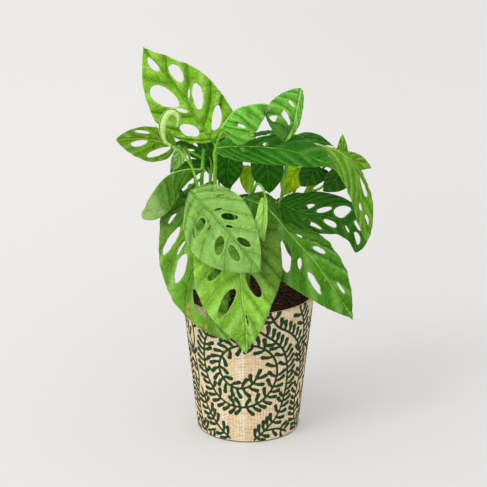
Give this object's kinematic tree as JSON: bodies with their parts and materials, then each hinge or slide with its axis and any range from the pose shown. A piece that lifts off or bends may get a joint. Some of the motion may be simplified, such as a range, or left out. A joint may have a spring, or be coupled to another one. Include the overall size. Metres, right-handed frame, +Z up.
{
  "type": "potted monstera",
  "caption": "A bushy Swiss-cheese plant with holed green leaves on several thin stems, growing in soil in a tapered straw basket printed with dark green scrolling leaves.",
  "frame": {"origin": "centre of the basket's base, on the surface it stands on", "axes": "+Z up; the pictured side of the plant faces -Y; +X is to the right in the picture"},
  "size_m": [0.2465, 0.1674, 0.3811],
  "materials": {
    "woven_straw": "matt straw-coloured weave with a dark green scrolling leaf print",
    "black_plastic": "thin black nursery pot, matt",
    "potting_soil": null,
    "stems": "smooth living green stems, soft sheen",
    "green_foliage": "smooth mid-green leaf with paler veins, satin",
    "pale_foliage": "smooth light green young leaf, satin",
    "shaded_foliage": "smooth dark green leaf, satin"
  },
  "bodies": {
    "root": {"basket": "woven_straw", "nursery_pot": "black_plastic", "soil": "potting_soil", "vine_left": "stems", "vine_middle": "stems", "vine_inner": "stems", "vine_right": "stems", "vine_far_right": "stems", "leaf_top_left": "green_foliage", "leaf_far_left": "pale_foliage", "leaf_top_front": "green_foliage", "leaf_top_middle": "green_foliage", "leaf_middle_long": "green_foliage", "leaf_right_drooping": "green_foliage", "leaf_right_upper": "green_foliage", "leaf_right_small": "green_foliage", "leaf_right_dark": "shaded_foliage", "leaf_front_right": "green_foliage", "leaf_front_pale": "pale_foliage", "leaf_front_middle": "pale_foliage", "leaf_front_left": "green_foliage", "leaf_left_olive": "green_foliage", "leaf_left_dark": "shaded_foliage", "leaf_front_young": "pale_foliage", "leaf_lime_large": "pale_foliage", "leaf_lime_small": "pale_foliage", "leaf_under_left": "shaded_foliage", "leaf_under_right": "shaded_foliage", "leaf_inner": "shaded_foliage", "leaf_inner_left": "shaded_foliage", "leaf_inner_low": "shaded_foliage", "leaf_inner_tall": "shaded_foliage", "leaf_behind_long": "shaded_foliage", "leaf_left_crumpled": "green_foliage", "leaf_inner_dark": "shaded_foliage", "leaf_inner_band": "shaded_foliage", "leaf_back_middle": "shaded_foliage", "leaf_back_right": "shaded_foliage", "leaf_back_top": "shaded_foliage", "leaf_back_left": "shaded_foliage", "leaf_back_far": "shaded_foliage", "leaf_rolled": "pale_foliage"}
  },
  "joints": []
}
